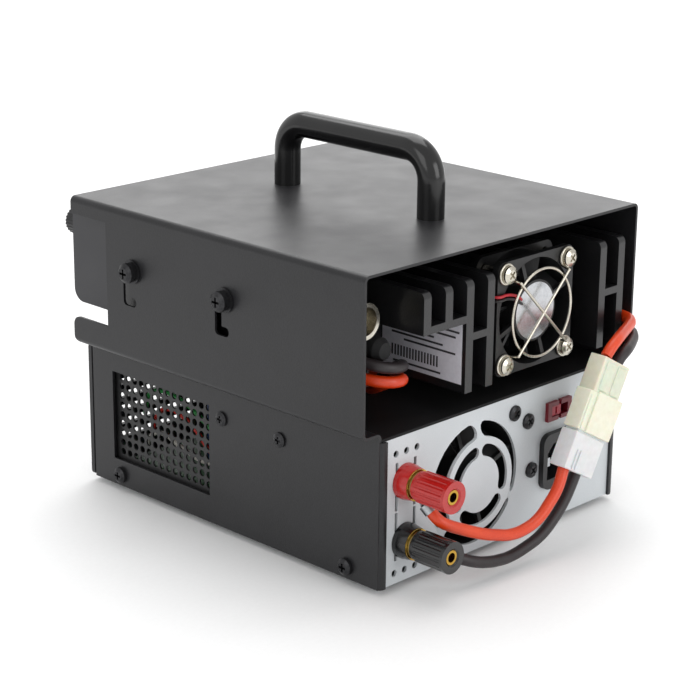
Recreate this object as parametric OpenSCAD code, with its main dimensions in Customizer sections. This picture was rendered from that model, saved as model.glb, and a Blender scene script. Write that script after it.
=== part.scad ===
// Bench power supply with a carry hood: a switch-mode supply in the lower bay, a
// mobile radio hung in the hood above it. +Z is up, +X is the side with the vent
// window drawn first, the rear panel with the binding posts faces +Y. The origin is
// the centre of the footprint, on the surface that the rubber feet stand on.

/* [Supply bay] */
// Width of the lower bay
psu_w = 155; // [150:0.5:160]
// Height of the lower bay, without its feet
psu_h = 64; // [63:0.5:66]
// Depth from the front panel to the rear panel
body_d = 184; // [180:1:190]
// Height of the rubber feet under the base
foot_h = 2.5; // [1.5:0.5:5]
// Thickness of the folded steel sheet
sheet = 1.2; // [1:0.1:1.5]

/* [Hood] */
// Width of the hood over the radio
hood_w = 174; // [172:1:180]
// Height of the hood above the ledge that joins it to the lower bay
hood_h = 68; // [66:1:74]
// Outer radius of the sheet bends
bend_r = 2.7; // [2.2:0.1:3.5]
// Width of the height slots in the hood's sides
slot_w = 4.2; // [4.1:0.1:4.6]
// Drop of the height slots between their two seats
slot_drop = 14; // [10:1:18]

/* [Handle] */
// Distance between the handle's legs
handle_cc = 88; // [80:1:100]
// Diameter of the handle's bar
handle_d = 12; // [10:0.5:14]
// Height of the handle above the hood
handle_h = 35; // [30:1:45]

/* [Binding posts] */
// Distance of the posts from the middle of the panel
post_x = 61.7; // [60:0.1:62]
// Height of the black post
post_black_z = 20.5; // [19:0.5:22]
// Height of the red post
post_red_z = 46.5; // [45:0.5:48]
// Length of a post outside the panel
post_out = 26.5; // [25:0.5:30]
// Diameter of a post's cap
cap_d = 13.7; // [13:0.1:14.5]
// Diameter of the plug bore in a post
plug_d = 4.1; // [4:0.05:4.2]

/* [Radio] */
// Width of the radio
radio_w = 158; // [150:1:160]
// Width of the square fan on the radio's heatsink
fan_w = 50; // [50:0.5:52]
// Distance between the fan's screws
fan_cc = 40; // [40:0.5:41]

/* [Leads] */
// Diameter of the leads
lead_d = 5; // [4:0.25:5]

/* [Hidden] */

$fn = 48;
knob_out = 16.5;                              // how far the radio's knob stands before the front
rear_y = (body_d + knob_out - post_out) / 2;  // outer face of the rear panel
front_y = rear_y - body_d;                    // outer face of the front panel
base_z = foot_h;                              // underside of the lower bay
psu_top = base_z + psu_h;                     // underside of the divider plate
ledge_z = psu_top + 2.9;                      // underside of the ledge
hood_top = ledge_z + hood_h;
bend_in = bend_r - sheet;                     // inner radius of the bends
psu_x = psu_w / 2;
hood_x = hood_w / 2;
hood_in_x = hood_x - sheet;
hood_front = front_y + 2.5;
cover_front = front_y + 3.2;

// Vent window in each side and the perforated sheet behind it
vent_y = [front_y + 17, front_y + 82.3];
vent_z = [base_z + 12.5, base_z + 54.5];
vent_pitch = 4.5;
vent_hole = 3.3;
vent_gap = 1.6;
vent_cols = 14;
vent_rows = 9;

// Side screws: the cover's own, then those of the inner heatsink
cover_screw_yz = [[rear_y - 162.2, base_z + 5.4], [rear_y - 17.8, base_z + 5.4]];
sink_screw_yz = [[rear_y - 93.4, base_z + 50.4], [rear_y - 57.3, base_z + 50.4]];

// Hood side: the bezel's cut-out, the height slots and the radio's screws
cut_y = rear_y - 157.4;
cut_z = [ledge_z + 12.8, ledge_z + 60.3];
slot_y = [rear_y - 143.9, rear_y - 84.5];
seat_dy = 4.4;
seat_z = ledge_z + 41.6;
tab_r = 4;

// Rear panel: fan, grille and fittings, as seen from behind
psu_fan = [18.8, base_z + 31.2];
psu_fan_w = 60;
psu_fan_cc = 50;
grille_r = [12.4, 17.9, 21, 27.3];
grille_rise = 3;
bridge_deg = [90, 207, 322];
inlet_c = [-39.3, base_z + 28.5];
inlet_w = [30, 25.7];
selector_c = [-35.3, base_z + 51.2];
selector_travel = 4;

// Binding posts
collar_l = 6.6;
ring_l = 0.8;
lug_t = 0.8;
cap_y = rear_y + collar_l + ring_l + lug_t + 0.05;
cap_l = rear_y + post_out - cap_y;
stud_d = 6.3;

// Carry handle
handle_y = -2;

// Radio
radio_z = [base_z + 74.5, base_z + 121.5];
radio_y = [front_y + 27, rear_y - 47];
radio_x = radio_w / 2;
fin_z = [radio_z[0] - 1.5, radio_z[1]];
fin_rear = rear_y + 0.5;
fin_t = 4.4;
fin_short = [51, 38];
fin_tall = [25, 12, -63, -76];
fan_c = [-20.5, base_z + 98.5];
fan_t = 15;
fan_rear = rear_y - 2.6;
fan_y = fan_rear - fan_t;
guard_d = 1.3;
bezel_x = 81;
bezel_y = [front_y - 4, front_y + 25];
bezel_z = [base_z + 84.5, base_z + 128.5];
knob_c = [69, base_z + 117.5];
channel_c = [-62, base_z + 110];
key_x = [-20, 0, 20];
key_z = base_z + 93;
key_travel = 1.2;

// Leads and the two halves of their connector
tilt = 29;                                    // lean of the connector from upright
con_top = [-42.5, rear_y + 22, base_z + 77];
con_w = 20;
con_t = 8.5;
con_upper = 32.5;
con_lower = 17.5;
con_pitch = 9.6;
lead_red_path = [[57.75, 97.98, 34.77], [57.14, 99.59, 32.95], [55.7, 101.5, 30.9], [52.8, 103, 29],
    [48.5, 104.2, 26.9], [42, 105.9, 24], [35, 107.3, 21.2], [28, 108.2, 19], [20.5, 109, 17.2],
    [11.5, 109.5, 17.2], [3.5, 110, 19.7], [-3, 110, 24.3], [-9, 110, 30.5], [-13.5, 109, 37.5]];
lead_black_path = [[51.09, 98.88, 15.09], [50.02, 100.96, 14.55], [48, 103.2, 13.6], [44.5, 105.4, 12],
    [39.5, 106.9, 10], [33, 107.7, 8.2], [26, 108, 7], [19, 108, 6.5], [9.5, 108.5, 8], [0, 109, 11],
    [-8, 109, 16], [-15, 109, 22.5], [-19, 109, 28], [-22, 109, 33]];
pigtail_red_path = [[70, 61.2, 88], [69.9, 66, 88], [67.8, 71.5, 87.4], [63.8, 76, 86.6],
    [58, 78, 85.8], [52.6, 75.8, 85], [49.8, 70.5, 83], [49, 64, 79.8], [47, 56, 75.6], [42, 47, 72],
    [34, 39.5, 71.3], [24, 33, 71.2], [10, 28.5, 71.2], [-10, 26, 71.2], [-40, 25.5, 71.2],
    [-62, 25.5, 71.4], [-70, 25.6, 72.2], [-76, 26, 73.7], [-81.2, 27, 74.4], [-83, 30.5, 78],
    [-83, 35.5, 82.3], [-82.8, 42, 85.2], [-82.4, 54, 86.2], [-82.4, 68, 86.3], [-82.4, 82, 86],
    [-81.4, 88.6, 85.7], [-77.3, 93.2, 85.7], [-70, 97.3, 86], [-62, 101.3, 86.5], [-54, 105.2, 86.9],
    [-47.6, 108, 86.7], [-43, 109, 85], [-39.6, 109, 81.9]];
pigtail_black_path = [[70, 61.2, 95], [69.9, 66, 94.8], [68, 71.7, 94], [64.3, 76.2, 92.9],
    [58.4, 78, 91.8], [52.3, 75.6, 90.7], [48.3, 70, 88.6], [45.5, 63, 84.6], [41.5, 55, 79.2],
    [35, 47.5, 74.3], [26, 41.5, 71.8], [16, 37.5, 71.2], [0, 35.3, 71.2], [-30, 34, 71.2],
    [-58, 33.8, 71.3], [-68, 34, 71.9], [-75, 34, 73.5], [-80.5, 34.6, 74.4], [-82.7, 38.5, 75.6],
    [-83, 44, 76.6], [-83, 50, 77.7], [-82.6, 58, 79], [-82.4, 70, 80], [-82.3, 83, 80.3],
    [-80.8, 90.5, 80.3], [-75.5, 96.3, 80.3], [-67.5, 101.5, 80.5], [-59.5, 106, 80.8],
    [-53.6, 108.6, 80.6], [-50, 109, 79], [-47.4, 109, 76.6]];

// ---- shapes shared by the sub-parts ----

// A rod from y0 to y1 along Y at (x, z)
module rod_y(x, z, y0, y1, d, f = 48) {
    translate([x, y0, z]) rotate([-90, 0, 0]) cylinder(h = y1 - y0, d = d, $fn = f);
}

// A rod from x0 to x1 along X at (y, z)
module rod_x(y, z, x0, x1, d, f = 48) {
    translate([x0, y, z]) rotate([0, 90, 0]) cylinder(h = x1 - x0, d = d, $fn = f);
}

// A box given by its lowest and highest corners
module box(a, b) {
    translate(a) cube([b[0] - a[0], b[1] - a[1], b[2] - a[2]]);
}

// A plate outline with round corners
module round_rect(w, h, r) {
    square([w - 2 * r, h], center = true);
    square([w, h - 2 * r], center = true);
    for (sx = [-1, 1], sy = [-1, 1])
        translate([sx * (w / 2 - r), sy * (h / 2 - r)]) circle(r, $fn = 32);
}

// Stands an outline drawn as (x, z) upright, with its thickness from y0 to y1
module upright(y0, y1) {
    translate([0, y1, 0]) rotate([90, 0, 0]) linear_extrude(y1 - y0) children();
}

// Stands an outline drawn as (y, z) on edge, with its thickness from x0 to x1
module edgewise(x0, x1) {
    translate([x0, 0, 0]) rotate([90, 0, 90]) linear_extrude(x1 - x0) children();
}

// The quarter ring of a sheet bend around (x, z), turned by deg
module bend_quarter(c, deg) {
    translate(c) rotate(deg) difference() {
        intersection() {
            circle(bend_r, $fn = 48);
            square(bend_r);
        }
        circle(bend_in, $fn = 48);
    }
}

// A Phillips pan-head screw along X, its head outside at x, side +1 or -1
module side_screw(side, x, y, z, head_d, head_h, shank_d, shank_l, washer_d, washer_h) {
    translate([side * x, y, z]) rotate([0, side * 90, 0]) {
        difference() {
            union() {
                translate([0, 0, washer_h]) cylinder(h = head_h * 0.6, d = head_d, $fn = 32);
                translate([0, 0, washer_h + head_h * 0.6 - 0.01])
                    cylinder(h = head_h * 0.4, d1 = head_d, d2 = head_d * 0.62, $fn = 32);
            }
            for (a = [0, 90]) rotate(a)
                translate([-head_d * 0.25, -0.5, washer_h + head_h * 0.45]) cube([head_d * 0.5, 1, head_h]);
        }
        if (washer_h > 0) cylinder(h = washer_h, d = washer_d, $fn = 32);
        translate([0, 0, -shank_l]) cylinder(h = shank_l + 0.01, d = shank_d, $fn = 32);
    }
}

// A Phillips screw along Y, its head outside at y
module panel_screw(x, y, z, head_d, head_h, shank_d, shank_l) {
    translate([x, y, z]) rotate([-90, 0, 0]) {
        difference() {
            union() {
                cylinder(h = head_h * 0.55, d = head_d, $fn = 32);
                translate([0, 0, head_h * 0.55 - 0.01])
                    cylinder(h = head_h * 0.45, d1 = head_d, d2 = head_d * 0.6, $fn = 32);
            }
            for (a = [45, 135]) rotate(a)
                translate([-head_d * 0.26, -0.45, head_h * 0.5]) cube([head_d * 0.52, 0.9, head_h]);
        }
        translate([0, 0, -shank_l]) cylinder(h = shank_l + 0.01, d = shank_d, $fn = 32);
    }
}

// A fan frame: two square flanges joined by a round duct, with a motor disc and struts
module fan_frame(c, w, cc, y0, y1, duct_d, hub_d) {
    flange = 3.2;
    difference() {
        union() {
            for (y = [y0, y1 - flange])
                upright(y, y + flange) translate(c) round_rect(w, w, 4);
            rod_y(c[0], c[1], y0, y1, w - 0.4, 64);
        }
        rod_y(c[0], c[1], y0 - 1, y1 + 1, duct_d, 64);
        for (sx = [-1, 1], sz = [-1, 1])
            rod_y(c[0] + sx * cc / 2, c[1] + sz * cc / 2, y0 - 1, y1 + 1, 4.4, 24);
    }
    rod_y(c[0], c[1], y1 - 3, y1, hub_d, 48);
    for (a = [20, 110, 200, 290])
        translate([c[0], 0, c[1]]) rotate([0, a, 0])
            box([hub_d / 2 - 1, y1 - 3, -1], [duct_d / 2 + 0.8, y1 - 1, 1]);
}

// A fan rotor: a hub cup with swept blades
module fan_rotor(c, y0, y1, hub_d, tip_d, blades) {
    rod_y(c[0], c[1], y0, y1, hub_d, 48);
    for (i = [0 : blades - 1])
        translate([c[0], (y0 + y1) / 2, c[1]]) rotate([0, i * 360 / blades, 0]) rotate([38, 0, 0])
            translate([hub_d / 2 - 0.8, -(y1 - y0) * 0.48, -0.5])
                cube([(tip_d - hub_d) / 2 + 0.6, (y1 - y0) * 0.96, 1]);
}

// Positions of a square pattern of four, spacing cc, round (x, z)
function corners(c, cc) = [for (sx = [-1, 1], sz = [-1, 1]) [c[0] + sx * cc / 2, c[1] + sz * cc / 2]];

// Sweep of a round tube along a route
function unit(v) = v / norm(v);
function tangent(p, i) = unit(i == 0 ? p[1] - p[0] : i == len(p) - 1 ? p[i] - p[i - 1] : p[i + 1] - p[i - 1]);
function across(t) = unit(abs(t[2]) < 0.8 ? cross(t, [0, 0, 1]) : cross(t, [0, 1, 0]));
function carried(p, i, side) =
    let (t = tangent(p, i), v = side - (side * t) * t) unit(v);
function frames(p, i, side, list) =
    i == len(p) ? list : let (s = carried(p, i, side)) frames(p, i + 1, s, concat(list, [s]));
module tube(path, d, sides = 10) {
    f = frames(path, 0, across(tangent(path, 0)), []);
    n = len(path);
    rings = [for (i = [0 : n - 1], k = [0 : sides - 1])
        let (t = tangent(path, i), a = f[i], b = cross(t, a), w = 360 * k / sides)
            path[i] + d / 2 * (cos(w) * a + sin(w) * b)];
    walls = [for (i = [0 : n - 2], k = [0 : sides - 1])
        let (a = i * sides + k, b = i * sides + (k + 1) % sides) [a, a + sides, b + sides, b]];
    ends = [[for (k = [0 : sides - 1]) k], [for (k = [sides - 1 : -1 : 0]) (n - 1) * sides + k]];
    polyhedron(points = rings, faces = concat(walls, ends));
}

// ---- lower bay ----

// The stepped cover over both bays: one folded sheet, open at the front, rear and bottom
module cover_profile() {
    for (s = [0, 1]) mirror([s, 0]) {
        translate([psu_x - sheet, base_z]) square([sheet, ledge_z - bend_in - base_z]);
        bend_quarter([psu_x + bend_in, ledge_z - bend_in], 90);
        translate([psu_x + bend_in, ledge_z]) square([hood_x - bend_r - psu_x - bend_in, sheet]);
        bend_quarter([hood_x - bend_r, ledge_z + bend_r], 270);
        translate([hood_x - sheet, ledge_z + bend_r]) square([sheet, hood_h - 2 * bend_r]);
        bend_quarter([hood_x - bend_r, hood_top - bend_r], 0);
    }
    translate([bend_r - hood_x, hood_top - sheet]) square([hood_w - 2 * bend_r, sheet]);
}

// A height slot seen from the side: a seat, a drop and a lower seat
module height_slot(y) {
    for (z = [seat_z, seat_z - slot_drop]) {
        translate([y + seat_dy, z]) circle(d = slot_w, $fn = 32);
        translate([y, z]) circle(d = slot_w, $fn = 32);
        translate([y, z - slot_w / 2]) square([seat_dy, slot_w]);
    }
    translate([y - slot_w / 2, seat_z - slot_drop]) square([slot_w, slot_drop]);
}

module cabinet_cover() color("#3c3b3d") difference() {
    union() {
        upright(hood_front, rear_y) cover_profile();
        // rear lips that wrap round the panel's upright edges
        for (s = [0, 1]) mirror([s, 0, 0]) {
            translate([0, 0, base_z]) linear_extrude(psu_h)
                bend_quarter([psu_x - bend_r, rear_y + sheet + 0.05 - bend_r], 0);
            box([psu_x - 3.7, rear_y + 0.05, base_z], [psu_x - bend_r, rear_y + sheet + 0.05, psu_top]);
        }
    }
    // the lower walls start behind the front panel and end at the rear lips
    box([-psu_x - 1, hood_front - 1, base_z - 1], [psu_x + 1, cover_front, ledge_z - bend_in]);
    // vent windows
    for (s = [-1, 1]) translate([s * psu_x, 0, 0])
        box([-2, vent_y[0], vent_z[0]], [2, vent_y[1], vent_z[1]]);
    // bezel cut-outs, with the tab below them rounded
    for (s = [-1, 1]) translate([s * hood_x, 0, 0]) {
        box([-3, hood_front - 1, cut_z[0]], [3, cut_y, cut_z[1]]);
        for (a = [[ledge_z, 0], [cut_z[0], -tab_r]])
            edgewise(-3, 3) difference() {
                translate([hood_front - 1, a[0] + a[1]]) square([tab_r + 1, tab_r]);
                translate([hood_front + tab_r, ledge_z + tab_r]) circle(tab_r);
                translate([hood_front + tab_r, cut_z[0] - tab_r]) circle(tab_r);
            }
    }
    // the ledge starts behind the tabs' round corners
    box([-hood_x + bend_r, hood_front - 1, ledge_z - 4], [hood_x - bend_r, hood_front + tab_r, ledge_z + 2]);
    // height slots
    for (s = [-1, 1]) edgewise(s * hood_x - 2, s * hood_x + 2)
        for (y = slot_y) height_slot(y);
    // screw holes
    for (p = cover_screw_yz) rod_x(p[0], p[1], -psu_x - 2, psu_x + 2, 3.4, 24);
    for (p = sink_screw_yz) rod_x(p[0], p[1], -psu_x - 2, psu_x + 2, 3.4, 24);
    for (s = [-1, 1]) translate([0, handle_y + s * handle_cc / 2, hood_top - 3]) cylinder(h = 6, d = 5.3, $fn = 24);
}

// The folded base: floor, side flanges and front wall
module chassis_base() color("#aeb2b5") difference() {
    union() {
        box([-psu_x + 1.4, front_y + 2.3, base_z], [psu_x - 1.4, rear_y - 1.3, base_z + sheet]);
        for (s = [0, 1]) mirror([s, 0, 0])
            box([psu_x - 2.5, cover_front + 0.6, base_z], [psu_x - 1.3, rear_y - 1.3, base_z + 11]);
        box([-psu_x + 1.4, front_y + 2.3, base_z], [psu_x - 1.4, front_y + 3.1, psu_top - 0.4]);
    }
    for (p = cover_screw_yz) rod_x(p[0], p[1], -psu_x - 2, psu_x + 2, 3, 24);
    // openings behind the rocker, the lamp and the front slots
    box([-59, front_y + 1, base_z + 19], [-37, front_y + 5, base_z + 45]);
    rod_y(-26, base_z + 32, front_y + 1, front_y + 5, 6, 24);
    box([10, front_y + 1, base_z + 12], [64, front_y + 5, base_z + 52]);
}

// The outline of one long slot with round ends, from angle a0 to a1 at radius rm, w wide
function arc_slot(rm, w, a0, a1) = concat(
    [for (k = [0 : 12]) let (a = a0 + (a1 - a0) * k / 12) (rm + w / 2) * [cos(a), sin(a)]],
    [for (k = [1 : 5]) rm * [cos(a1), sin(a1)] + w / 2 * [cos(a1 + 30 * k), sin(a1 + 30 * k)]],
    [for (k = [12 : -1 : 0]) let (a = a0 + (a1 - a0) * k / 12) (rm - w / 2) * [cos(a), sin(a)]],
    [for (k = [1 : 5]) rm * [cos(a0), sin(a0)] + w / 2 * [cos(a0 + 180 + 30 * k), sin(a0 + 180 + 30 * k)]]);

// A ring of three long slots between radii r0 and r1, with a bridge at each of bridge_deg
module arc_slots(r0, r1) {
    rm = (r0 + r1) / 2;
    half = asin((r1 - r0) / 2 / rm) + 3.2;
    ends = concat(bridge_deg, [bridge_deg[0] + 360]);
    for (i = [0 : 2]) polygon(arc_slot(rm, r1 - r0, ends[i] + half, ends[i + 1] - half));
}

module rear_panel() color("#c9cdd0") difference() {
    union() {
        upright(rear_y - sheet, rear_y) difference() {
            translate([-psu_x + 2.45, base_z]) square([psu_w - 4.9, psu_h]);
            translate(psu_fan) circle(grille_r[3] + 0.8, $fn = 96);
        }
        // the grille is pressed outwards: a shallow cone with a flat top
        translate([psu_fan[0], rear_y, psu_fan[1]]) rotate([-90, 0, 0]) rotate_extrude($fn = 96)
            polygon([[0, grille_rise - sheet], [grille_r[2] - 0.8, grille_rise - sheet],
                [grille_r[3] - 0.4, -sheet], [grille_r[3] + 1.4, -sheet], [grille_r[3] + 1.4, 0],
                [grille_r[3] + 0.4, 0], [grille_r[2], grille_rise], [0, grille_rise]]);
    }
    // long slots of the grille
    translate([psu_fan[0], rear_y + 6, psu_fan[1]]) rotate([90, 0, 0]) linear_extrude(9) {
        arc_slots(grille_r[0], grille_r[1]);
        arc_slots(grille_r[2], grille_r[3]);
    }
    // small holes in two rows of three, and the slits beside the posts
    for (dx = [-6.2, 0, 6.2], z = [base_z + 4.7, base_z + 57])
        rod_y(post_x - 0.3 + dx, z, rear_y - 3, rear_y + 1, 3, 24);
    for (x = [post_x - 5.6, post_x + 5.2], z = [[10, 31.2], [32, 53]])
        box([x - 0.8, rear_y - 3, base_z + z[0]], [x + 0.8, rear_y + 1, base_z + z[1]]);
    // posts, inlet, selector and screws
    for (z = [post_black_z, post_red_z]) rod_y(post_x, z, rear_y - 3, rear_y + 1, 9, 32);
    upright(rear_y - 3, rear_y + 1) translate(inlet_c) square([27.4, 20], center = true);
    upright(rear_y - 3, rear_y + 1) translate(selector_c) square([14, 7], center = true);
    for (p = panel_screw_xz) rod_y(p[0], p[1], rear_y - 3, rear_y + 1, 3.4, 24);
}

// Screws that show in the rear panel: two of the fan, and two that hold inner parts
panel_screw_xz = [[psu_fan[0] - psu_fan_cc / 2, psu_fan[1] + psu_fan_cc / 2],
    [psu_fan[0] + psu_fan_cc / 2, psu_fan[1] - psu_fan_cc / 2],
    [-15.4, base_z + 50.3], [-18.6, base_z + 27]];

module panel_screws() color("#3f4344") for (p = panel_screw_xz)
    panel_screw(p[0], rear_y + 0.02, p[1], 7, 1.7, 3.2, 7);

// The lid of the lower bay, which the radio bay stands on
module divider_plate() color("#8f9396")
    box([-psu_x + 1.4, front_y + 3.3, psu_top + 0.05], [psu_x - 1.4, rear_y, psu_top + 0.05 + sheet]);

module side_vent_screens() color("#5a595c") for (s = [0, 1]) mirror([s, 0, 0])
    edgewise(psu_x - sheet - vent_gap - 0.8, psu_x - sheet - vent_gap) difference() {
        translate([vent_y[0] - 3, vent_z[0] - 1.2]) square([vent_y[1] - vent_y[0] + 6, vent_z[1] - vent_z[0] + 3]);
        for (i = [0 : vent_cols - 1], k = [0 : vent_rows - 1])
            translate([vent_y[0] + 3.2 + i * vent_pitch, vent_z[0] + 3.2 + k * vent_pitch])
                circle(d = vent_hole, $fn = 16);
    }

// The moulded front of the supply, with slots for cooling air
module front_panel() color("#2e2e30") difference() {
    upright(front_y, front_y + 2.2) translate([0, base_z + psu_h / 2]) round_rect(psu_w, psu_h, 2);
    box([-59, front_y - 1, base_z + 19], [-37, front_y + 4, base_z + 45]);
    rod_y(-26, base_z + 32, front_y - 1, front_y + 4, 5.1, 24);
    for (i = [0 : 5])
        box([12, front_y - 1, base_z + 14 + i * 6.5], [62, front_y + 4, base_z + 17 + i * 6.5]);
}

module rocker_frame() color("#202022") difference() {
    union() {
        upright(front_y - 1.6, front_y - 0.02) translate([-48, base_z + 32]) round_rect(24, 29, 2);
        box([-58.6, front_y - 0.1, base_z + 19.4], [-37.4, front_y + 14, base_z + 44.6]);
    }
    box([-56.2, front_y - 3, base_z + 21], [-39.8, front_y + 12, base_z + 43]);
    rod_x(front_y + 2, base_z + 32, -59, -37, 2.7, 32);
}

module power_rocker() color("#1b1b1d") translate([-48, front_y + 2, base_z + 32]) rotate([0, 90, 0]) {
    translate([0, 0, -7.9]) linear_extrude(15.8)
        polygon([[-9.4, -5.2], [-8.8, -1.2], [-1, 2.6], [1, 2.6], [8.8, 0.4], [9.4, -1.6], [0, -2.9]]);
    // the pivots in the frame's sides
    translate([0, 0, -9.2]) cylinder(h = 18.4, d = 2.6, $fn = 32);
}

module power_led() color("#39b54a") {
    rod_y(-26, base_z + 32, front_y - 1, front_y + 4, 5, 24);
    rod_y(-26, base_z + 32, front_y + 4, front_y + 5, 5.8, 24);
}

module rubber_feet() color("#1d1d1e") for (sx = [-1, 1], y = [front_y + 20, rear_y - 20])
    translate([sx * (psu_x - 19), y, 0]) cylinder(h = foot_h - 0.02, d1 = 13, d2 = 14, $fn = 32);

module cover_screws() color("#4c4b4e") for (s = [-1, 1], p = cover_screw_yz)
    side_screw(s, psu_x + 0.02, p[0], p[1], 7.4, 2.6, 2.9, 5, 0, 0);

module heatsink_screws() color("#343436") for (s = [-1, 1], p = sink_screw_yz)
    side_screw(s, psu_x + 0.02, p[0], p[1], 6.6, 1.4, 2.9, 5, 0, 0);

module psu_fan_frame() color("#19191a")
    fan_frame(psu_fan, psu_fan_w, psu_fan_cc, rear_y - sheet - 20.1, rear_y - sheet - 0.1, 56.5, 26);

module psu_fan_rotor() color("#232325")
    fan_rotor(psu_fan, rear_y - sheet - 19, rear_y - sheet - 3.5, 25, 54, 7);

// Mains inlet: a moulded shell with a deep cavity and three pins
module inlet_shell() color("#1c1c1d") difference() {
    union() {
        upright(rear_y + 0.02, rear_y + 2.6) translate(inlet_c) round_rect(inlet_w[0], inlet_w[1], 4.6);
        upright(rear_y - 17, rear_y + 0.03) translate(inlet_c) square([27, 19.6], center = true);
    }
    upright(rear_y - 15, rear_y + 3) translate(inlet_c) polygon([[-12.2, -8.2], [12.2, -8.2], [12.2, 4.2],
        [8.4, 8.2], [-8.4, 8.2], [-12.2, 4.2]]);
}

module inlet_pins() color("#c7c9cb") for (p = [[-7, -2], [0, 2], [7, -2]])
    box([inlet_c[0] + p[0] - 1, rear_y - 21, inlet_c[1] + p[1] - 2],
        [inlet_c[0] + p[0] + 1, rear_y - 1, inlet_c[1] + p[1] + 2]);

// Voltage selector: two raised cheeks joined by a waist, with a slider between
module selector_frame() color("#6e1020") difference() {
    union() {
        for (x = [-8, 0.8]) box([selector_c[0] + x, rear_y + 0.02, selector_c[1] - 4.3],
            [selector_c[0] + x + 7.2, rear_y + 1.8, selector_c[1] + 4.3]);
        box([selector_c[0] - 1, rear_y + 0.02, selector_c[1] - 1.6],
            [selector_c[0] + 1, rear_y + 1.8, selector_c[1] + 1.6]);
        box([selector_c[0] - 6.8, rear_y - 8, selector_c[1] - 3.3],
            [selector_c[0] + 6.8, rear_y + 0.03, selector_c[1] + 3.3]);
    }
    box([selector_c[0] - 5.4, rear_y - 6, selector_c[1] - 2.4],
        [selector_c[0] + 5.4, rear_y + 3, selector_c[1] + 2.4]);
}

module selector_slider() color("#a3172b") difference() {
    box([selector_c[0] - 1.2, rear_y - 5.9, selector_c[1] - 2.2],
        [selector_c[0] + 5.2, rear_y + 1.2, selector_c[1] + 2.2]);
    box([selector_c[0] + 1.5, rear_y + 0.2, selector_c[1] - 1.6],
        [selector_c[0] + 2.5, rear_y + 2, selector_c[1] + 1.6]);
}

// ---- binding posts ----

module post_base(z) {
    difference() {
        union() {
            translate([post_x, rear_y + 0.02, z]) rotate([-90, 0, 0]) {
                cylinder(h = 2, d = 15.4, $fn = 64);
                translate([0, 0, 1.99]) cylinder(h = collar_l - 2, d1 = 15.4, d2 = 13.8, $fn = 64);
            }
            rod_y(post_x, z, rear_y - sheet - 2, rear_y + 0.1, 8.8, 32);
        }
        rod_y(post_x, z, rear_y - 10, rear_y + 20, stud_d - 0.1, 32);
    }
    // the insulating washer behind the panel
    difference() {
        rod_y(post_x, z, rear_y - sheet - 2, rear_y - sheet - 0.02, 14, 48);
        rod_y(post_x, z, rear_y - 10, rear_y, 8.7, 32);
    }
}

// Plated stud with the plug bore, its seat ring, and the nut behind the panel
module post_stud(z) {
    difference() {
        union() {
            rod_y(post_x, z, rear_y - 14, rear_y + post_out - 0.6, stud_d - 0.1, 32);
            rod_y(post_x, z, rear_y + collar_l + 0.02, rear_y + collar_l + ring_l, 13.5, 64);
        }
        rod_y(post_x, z, rear_y + post_out - 18, rear_y + post_out + 1, plug_d, 32);
    }
    difference() {
        translate([post_x, rear_y - sheet - 5.2, z]) rotate([-90, 0, 0]) cylinder(h = 3.1, d = 11.5, $fn = 6);
        rod_y(post_x, z, rear_y - 10, rear_y, stud_d, 32);
    }
}

// The captive washer that the cap presses on the wire
module cap_washer(z) difference() {
    rod_y(post_x, z, cap_y, cap_y + 1, 10.6, 48);
    rod_y(post_x, z, cap_y - 1, cap_y + 3, stud_d + 0.1, 32);
}

// The fluted cap, bored for the stud and recessed for its washer
module post_cap(z) difference() {
    union() {
        rod_y(post_x, z, cap_y, cap_y + 2, cap_d - 1.2, 48);
        rod_y(post_x, z, cap_y + 1.9, cap_y + cap_l, cap_d, 48);
    }
    for (i = [0 : 17]) translate([post_x, 0, z]) rotate([0, i * 20, 0])
        rod_y(cap_d / 2 + 0.35, 0, cap_y - 1, cap_y + cap_l - 1.5, 1.5, 16);
    rod_y(post_x, z, cap_y - 1, cap_y + cap_l + 1, stud_d, 32);
    rod_y(post_x, z, cap_y - 1, cap_y + 1.15, 10.7, 48);
    translate([post_x, cap_y + cap_l - 0.8, z]) rotate([-90, 0, 0]) cylinder(h = 1, d1 = stud_d, d2 = 8.4, $fn = 48);
}

module red_post_base() color("#b3201f") post_base(post_red_z);
module red_post_stud() color("#cfa94a") post_stud(post_red_z);
module red_cap_washer() color("#cfa94a") cap_washer(post_red_z);
module red_post_cap() color("#c2302d") post_cap(post_red_z);
module black_post_base() color("#161617") post_base(post_black_z);
module black_post_stud() color("#cfa94a") post_stud(post_black_z);
module black_cap_washer() color("#cfa94a") cap_washer(post_black_z);
module black_post_cap() color("#1c1c1d") post_cap(post_black_z);

// ---- inside the lower bay ----

module psu_board() color("#2f6b3c") {
    box([-62, front_y + 12, base_z + 6], [62, rear_y - 30, base_z + 7.6]);
    for (x = [-56, 56], y = [front_y + 18, rear_y - 36])
        translate([x, y, base_z + sheet + 0.02]) cylinder(h = 6 - sheet - 0.03, d = 6, $fn = 24);
}

// Mains transformer and output choke
module wound_parts() color("#c8a24a") {
    box([-18, -34, base_z + 7.65], [20, 2, base_z + 40]);
    box([-14, -40, base_z + 12], [16, 8, base_z + 35]);
    translate([-40, 25, base_z + 7.65]) difference() {
        cylinder(h = 16, d = 34, $fn = 48);
        translate([0, 0, -1]) cylinder(h = 18, d = 13, $fn = 32);
    }
}

module capacitors() color("#24406b") {
    for (p = [[-44, -58, 25, 40], [-44, -26, 25, 40], [44, 8, 16, 28], [44, 28, 16, 28], [30, -58, 18, 30]])
        translate([p[0], p[1], base_z + 7.65]) cylinder(h = p[3], d = p[2], $fn = 40);
}

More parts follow.
